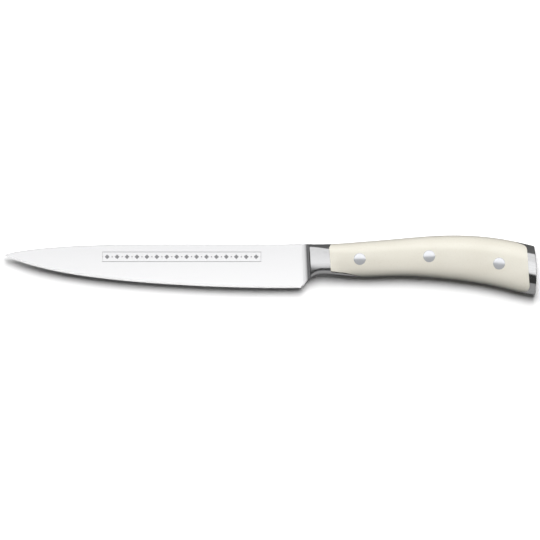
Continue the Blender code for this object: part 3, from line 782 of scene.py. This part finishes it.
def handleStations():
    steps, clear, rim = handle["stationSteps"], handle["clearOfBox"], handle["buttRimRadius"]
    turns = spread(0, math.pi / 2, steps["fillet"])
    along = [-filletRadius * (1 - math.sin(turn)) for turn in turns] + [0.0]
    along += spread(handle["shoulderBreak"], jointX, steps["bolster"])
    along += spread(jointX, frontX, steps["frontGrip"])
    along += spread(frontX, rearX, steps["grip"])
    along += spread(rearX, buttX - rim, steps["rearGrip"])
    stations = [(x, clear) for x in along]
    for i in range(steps["rim"] + 1):
        turn = math.pi * handle["buttRimTurn"] * i / steps["rim"]
        stations.append((buttX - rim * (1 - math.sin(turn)), clear + rim * (1 - math.cos(turn))))
    return stations + [(stations[-1][0], stations[-1][1] + handle["buttFlatEdge"])]


def makeGroundSurface(name):
    # one outer surface, shared by the bolster, the cap, the scales and the rivets' heads
    rings = [handleSection(x, inset) for x, inset in handleStations()]
    verts, faces = skinRings(rings)
    size = len(rings[0])
    half = size // 2
    for first in (0, size * (len(rings) - 1)):
        faces += capStrips(first, size, half)
        faces.append((first + half - 1, first + half, first + half + 1))
    piece = newPiece(name, verts, faces)
    smoothByAngle(piece, handle["smoothAngle"])
    return piece


def roundedOutline(corners):
    points, steps = [], joints["cornerSteps"]
    for i, (x, y, radius) in enumerate(corners):
        here = Vector((x, y))
        if not radius:
            points.append(here)
            continue
        toLast = (Vector(corners[i - 1][:2]) - here).normalized()
        toNext = (Vector(corners[(i + 1) % len(corners)][:2]) - here).normalized()
        halfAngle = toLast.angle(toNext) / 2
        centre = here + (toLast + toNext).normalized() * radius / math.sin(halfAngle)
        start = here + toLast * radius / math.tan(halfAngle) - centre
        sweep = (here + toNext * radius / math.tan(halfAngle) - centre).angle_signed(start)
        points += [centre + Matrix.Rotation(sweep * step / steps, 2) @ start for step in range(steps + 1)]
    return points


def pocketOutline(lift=0.0):
    # seen from the side: the joint with the bolster, the ledge, open below, the joint with the cap, open above
    capX = buttX - joints["capLength"]
    capMiddle = (handleTop(capX) + handleBottom(capX)) / 2
    strip, out, over = joints["capStripHeight"], joints["outside"], joints["overTop"]

    def jointAt(y):
        return jointX + joints["shift"] + math.tan(math.radians(joints["slant"])) * (bolsterMiddle - y)

    def capJointAt(y):
        return capX + math.tan(math.radians(joints["capSlant"])) * (capMiddle - y)

    ledgeX, ledgeY = jointX + joints["ledgeRun"], handleBottom(jointX) + joints["ledgeHeight"] + lift
    ledgeEndX = frontX + joints["ledgeEnd"]
    nose, noseRun, noseCorner = joints["topCorner"]
    noseX, noseY = jointX + noseRun, handleTop(jointX) - nose
    sliver, sliverRun, sliverCorner = joints["capSliver"]
    lowY, topY, stripX = handleBottom(capX) + strip, handleTop(capX) - sliver, capX - joints["capStripRun"]
    return roundedOutline([
        (noseX, out, 0),
        (noseX, handleTop(noseX) + over, 0),
        (jointAt(noseY), noseY, noseCorner),
        (jointAt(ledgeY), ledgeY, joints["ledgeCorner"]),
        (ledgeX, handleBottom(ledgeX) + joints["ledgeHeight"] + lift, 0),
        (ledgeEndX, handleBottom(ledgeEndX), 0),
        (frontX + out / 4, -2 * out, 0),
        (stripX - out / 4, -2 * out, 0),
        (stripX, handleBottom(stripX) - strip, 0),
        (capJointAt(lowY), lowY, joints["capCorner"]),
        (capJointAt(topY), topY, sliverCorner),
        (capX - sliverRun, handleTop(capX - sliverRun) + over, 0),
        (stripX - out / 4, out, 0),
    ])


def drawnIn(points, gap):
    moved = []
    for i, here in enumerate(points):
        before = (here - points[i - 1]).normalized()
        after = (points[(i + 1) % len(points)] - here).normalized()
        inward = Vector((-before.y - after.y, before.x + after.x))
        moved.append(here + inward * gap / (1 + before.dot(after)))
    return moved


def makePrism(name, points, low, high):
    count = len(points)
    verts = [(p.x, p.y, low) for p in points] + [(p.x, p.y, high) for p in points]
    faces = [tuple(reversed(range(count))), tuple(range(count, 2 * count))]
    faces += [(i, (i + 1) % count, (i + 1) % count + count, i + count) for i in range(count)]
    return newPiece(name, verts, faces)


def turnProfile(name, profile, centre, steps):
    # a (radius, height) profile turned about Z at (x, y)
    rings = []
    for i in range(steps):
        turn = 2 * math.pi * i / steps
        rings.append([(centre[0] + r * math.cos(turn), centre[1] + r * math.sin(turn), z) for r, z in profile])
    rings.append(rings[0])
    verts, faces = skinRings(rings, closed=False)
    return newPiece(name, verts, faces)


rivet = {
    "depths": {"Front": 7.7, "Middle": 6.2, "Rear": 10.1},
    "headRadius": 3.15,
    "shankRadius": 2.2,
    "pinRadius": 1.3,
    "web": 3.2,  # of the scale, under the heads
    "endGap": 0.5,  # between a shank's end and the other half's head
    "crownRadius": 82.0,
    "proud": 0.04,
    "edgeRound": 0.12,
    "leans": {"Front": -0.2, "Middle": 1.7, "Rear": 1.3},  # degrees that a head leans towards the edge
    "crownSteps": 12,
    "edgeSteps": 5,
    "turnSteps": 72,
    "boreSteps": 64,
    "smoothAngle": 40,
}
rivetPlaces = {name: (x, -depth) for x, (name, depth) in zip((frontX, middleX, rearX), rivet["depths"].items())}
seat = tangHalf + rivet["web"]


def makeHandle():
    ground = makeGroundSurface("groundSurface")
    tang = makeGroundSurface("bolsterTangAndCap")
    out, gap = joints["outside"], joints["hairline"]
    head, shank, reach = rivet["headRadius"] + gap, rivet["shankRadius"] + gap, 2 * tangHalf
    scales = []
    for side, sign in (("Left", 1), ("Right", -1)):
        low, high = sorted((sign * tangHalf, sign * out))
        cutOut(tang, makePrism("pocket", pocketOutline(), low, high))
        low, high = sorted((sign * (tangHalf + gap), sign * out))
        scale = makePrism("scale" + side, drawnIn(pocketOutline(joints["ledgeGap"]), gap), low, high)
        cutWith(scale, ground, "INTERSECT")
        bore = [(0, out), (head, out), (head, seat), (shank, seat), (shank, 0), (0, 0)]
        for place in rivetPlaces.values():
            cutOut(scale, turnProfile("bore", [(r, sign * z) for r, z in bore], place, rivet["boreSteps"]))
        scales.append(scale)
    hole = [(0, reach), (shank, reach), (shank, -reach), (0, -reach)]
    for place in rivetPlaces.values():
        cutOut(tang, turnProfile("hole", hole, place, rivet["boreSteps"]))
    cream, steel = creamAcetal(), polishedSteel()
    for piece, material in ((tang, steel), (scales[0], cream), (scales[1], cream)):
        piece.data.materials.clear()
        piece.data.materials.append(material)
        smoothByAngle(piece, handle["smoothAngle"])
        borrowNormals(piece, ground)
    bpy.data.objects.remove(ground)
    # the pockets' floors, seen at the bottom of the joints, get painted shade
    tang.data.materials.append(streakedFinish("paintedJointShade", jointShadeFinish))
    square, near = joints["floor"]
    for face in tang.data.polygons:
        if abs(face.normal.z) > square and abs(abs(face.center.z / mm) - tangHalf) < near:
            face.material_index = 1
    return tang, scales


def surfaceHeight(x, y):
    # half thickness of the handle at a place on its side
    top, bottom = handleTop(x), handleBottom(x)
    middle, halfHeight = (top + bottom) / 2, (top - bottom) / 2
    land = handle["landShare"] * halfHeight
    power = topSquareness(x) if y > middle else bottomSquareness(x)
    share = max(abs(y - middle) - land, 0.0) / (halfHeight - land)
    full = handleHalfWidth(x) - handle["clearOfBox"] - crownDrop(x, y)
    return full * (1 - share**power) ** (1 / power)


def headProfile():
    # (radius, drop) from the middle of the domed head to its softened edge
    head, edge = rivet["headRadius"], rivet["edgeRound"]
    crownSteps, edgeSteps = rivet["crownSteps"], rivet["edgeSteps"]
    profile = []
    for i in range(crownSteps + 1):
        r = (head - edge) * i / crownSteps
        profile.append((r, -(r**2) / (2 * rivet["crownRadius"])))
    rimDrop = profile[-1][1]
    for i in range(1, edgeSteps + 1):
        turn = math.pi / 2 * i / edgeSteps
        profile.append((head - edge + edge * math.sin(turn), rimDrop - edge * (1 - math.cos(turn))))
    return profile


def makeRivet(name, place, sign, bored, leaning):
    # one half has a solid pin, the other a tubular shank
    rise = math.tan(math.radians(leaning))
    head, shank, pin = rivet["headRadius"], rivet["shankRadius"], rivet["pinRadius"]
    end = -seat + rivet["endGap"]
    if bored:
        bore = pin + joints["hairline"]
        rest = [(head, seat), (shank, seat), (shank, end), (bore, end), (bore, seat), (0, seat)]
    else:
        rest = [(head, seat), (pin, seat), (pin, end), (0, end)]
    steps, top, rings = rivet["turnSteps"], headProfile(), []
    for i in range(steps):
        turn = 2 * math.pi * i / steps
        ring = []
        for r, drop in top:
            x, y = r * math.cos(turn), r * math.sin(turn)
            lift = surfaceHeight(place[0] + x, place[1] + y) + rivet["proud"] + drop + rise * y
            ring.append((x, y, sign * lift))
        ring += [(r * math.cos(turn), r * math.sin(turn), sign * z) for r, z in rest]
        rings.append(ring)
    rings.append(rings[0])
    verts, faces = skinRings(rings, closed=False)
    piece = newPiece(name, verts, faces)
    piece.location = (offset + Vector((*place, 0))) * mm
    smoothByAngle(piece, rivet["smoothAngle"])
    return piece


bladePiece = makeBlade()
print("blade", len(bladePiece.data.polygons), "faces")
tangPiece, scalePieces = makeHandle()
print("handle", [len(p.data.polygons) for p in (tangPiece, *scalePieces)], "faces")

for piece in (bladePiece, tangPiece):
    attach(piece, "root")
    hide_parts("forged_blade_and_tang")
for piece, node in zip(scalePieces, ("scale_left", "scale_right")):
    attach(piece, "root")
    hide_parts(node)

rivetMaterial = rivetSteel()
for name, place in rivetPlaces.items():
    for side, sign, half in (("Left", 1, "female"), ("Right", -1, "male")):
        piece = makeRivet("rivet" + name + side, place, sign, half == "female", rivet["leans"][name])
        piece.data.materials.append(rivetMaterial)
        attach(piece, "root")
        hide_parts("rivet_" + name.lower() + "_" + half)
print("rivets set")


light = {
    "tableHalf": 3.0,  # metres
    "tableColour": (0.3, 0.3, 0.3),
    "tableSeen": 1.2,  # how white the camera sees the table
    "tablePlain": (0.28, 0.5),  # beyond this it is plain white
    "ambient": 0.018,
    # watts, size, distance, degrees from overhead towards the spine and towards the butt
    "lamps": {
        "softbox": (19.9, (0.8, 0.74), 1.4, 20.5, 4.0),
        "sideFill": (6.4, (1.2, 0.8), 1.6, 50.0, 4.0),
    },
    # studio as the metal sees it: (degrees from overhead, towards the spine +, level)
    "acrossKnife": (
        (-180, 0.08), (-150, 0.24), (-125, 0.34), (-60, 0.38), (-31, 0.38), (-29, 0.05), (-12.5, 0.05),
        (-11, 1.2), (-3, 1.2), (3, 1.0), (46, 1.0), (53, 0.17), (100, 0.15), (135, 0.14), (180, 0.16),
    ),
    "endsFold": 0.6,  # how far a look along the knife counts as a look overhead
    # share of that level which is left, from the point's end to the butt's
    "towardsEnds": (
        (-1, 0.0), (-0.97, 0.1), (-0.92, 0.4), (-0.82, 0.66), (-0.5, 1.0), (0.5, 1.0), (0.85, 0.52), (1, 0.38),
    ),
    "endLevel": 0.16,
}


def makeTable():
    mesh = bpy.data.meshes.new("table")
    half = light["tableHalf"]
    corners = [(-half, -half, 0), (half, -half, 0), (half, half, 0), (-half, half, 0)]
    mesh.from_pydata(corners, [], [(0, 1, 2, 3)])
    table = placeObject("table", mesh)
    table.visible_glossy = False
    material, nodes, links, _ = nodeMaterial("whiteTable")
    nodes.clear()
    plain, seen = addNode(nodes, "ShaderNodeBsdfDiffuse"), addNode(nodes, "ShaderNodeBsdfDiffuse")
    plain.inputs["Color"].default_value = (*light["tableColour"], 1)
    seen.inputs["Color"].default_value = (light["tableSeen"],) * 3 + (1,)
    place = addNode(nodes, "ShaderNodeTexCoord")
    away = addNode(nodes, "ShaderNodeVectorMath", operation="LENGTH")
    links.new(place.outputs["Object"], away.inputs[0])
    far = rangeNode(
        nodes, links, away.outputs["Value"], (0.0, 1.0),
        source=light["tablePlain"], interpolation_type="SMOOTHSTEP",
    )
    white = addNode(nodes, "ShaderNodeEmission")
    path = addNode(nodes, "ShaderNodeLightPath")

    def mixShaders(factor, first, second):
        mix = addNode(nodes, "ShaderNodeMixShader")
        for i, source in enumerate((factor, first, second)):
            links.new(source, mix.inputs[i])
        return mix.outputs["Shader"]

    forCamera = mixShaders(far, seen.outputs["BSDF"], white.outputs["Emission"])
    surface = mixShaders(path.outputs["Is Camera Ray"], plain.outputs["BSDF"], forCamera)
    links.new(surface, addNode(nodes, "ShaderNodeOutputMaterial").inputs["Surface"])
    mesh.materials.append(material)


def rampOf(nodes, links, value, stops):
    # the level at a value, from (place, level) stops
    low, high = stops[0][0], stops[-1][0]
    ramp = addNode(nodes, "ShaderNodeValToRGB")
    elements = ramp.color_ramp.elements
    top = max(level for _, level in stops)
    for place, level in stops:
        if place in (low, high):
            element = elements[0 if place == low else len(elements) - 1]
        else:
            element = elements.new((place - low) / (high - low))
        element.color = (level / top,) * 3 + (1,)
    links.new(rangeNode(nodes, links, value, (0.0, 1.0), source=(low, high)), ramp.inputs["Fac"])
    return mathNode(nodes, links, "MULTIPLY", ramp.outputs["Color"], top)


def makeStudio():
    # white to the camera, faint to dull surfaces, and a banded studio to the metal
    world = bpy.data.worlds.new("studio")
    scene.world = world
    world.use_nodes = True
    nodes, links = world.node_tree.nodes, world.node_tree.links
    nodes.clear()
    x, y, z = splitAxes(nodes, links, "Generated")
    sideways = mathNode(nodes, links, "MULTIPLY", x, x)
    level = mathNode(nodes, links, "ADD", z, mathNode(nodes, links, "MULTIPLY", sideways, light["endsFold"]))
    across = mathNode(nodes, links, "DEGREES", mathNode(nodes, links, "ARCTAN2", y, level))
    bands = rampOf(nodes, links, across, light["acrossKnife"])
    ends = rampOf(nodes, links, x, light["towardsEnds"])
    path = addNode(nodes, "ShaderNodeLightPath")
    mirrored = mixValues(nodes, links, ends, light["endLevel"], bands)
    lit = mixValues(nodes, links, path.outputs["Is Glossy Ray"], light["ambient"], mirrored)
    seen = mixValues(nodes, links, path.outputs["Is Camera Ray"], lit, 1.0)
    back = addNode(nodes, "ShaderNodeBackground")
    links.new(seen, back.inputs["Color"])
    links.new(back.outputs["Background"], addNode(nodes, "ShaderNodeOutputWorld").inputs["Surface"])


def makeLamp(name, watts, size, distance, tilt, sideways):
    data = bpy.data.lights.new(name, "AREA")
    data.shape = "ELLIPSE"
    data.size, data.size_y = size
    data.energy = watts
    tilt, sideways = math.radians(tilt), math.radians(sideways)
    towards = Vector((math.sin(sideways), math.sin(tilt), math.cos(tilt))).normalized()
    lamp = placeObject(name, data, towards * distance)
    lamp.rotation_euler = lamp.location.to_track_quat("Z", "Y").to_euler()
    lamp.visible_glossy = False


view = {
    "pixel": 0.5316,  # millimetres that one pixel shows
    "pixels": 540,
    "centre": (-0.558, -2.552),
    "height": 600,
    "clipEnd": 10,  # metres
}


def makeCamera():
    camera = bpy.data.cameras.new("overhead")
    camera.type = "ORTHO"
    camera.ortho_scale = view["pixel"] * view["pixels"] * mm
    camera.clip_end = view["clipEnd"]
    scene.camera = placeObject("overhead", camera, Vector((*view["centre"], view["height"])) * mm)


makeTable()
makeStudio()
for name, settings in light["lamps"].items():
    makeLamp(name, *settings)
makeCamera()
scene.view_settings.view_transform = "Standard"
print("table, light and camera set")
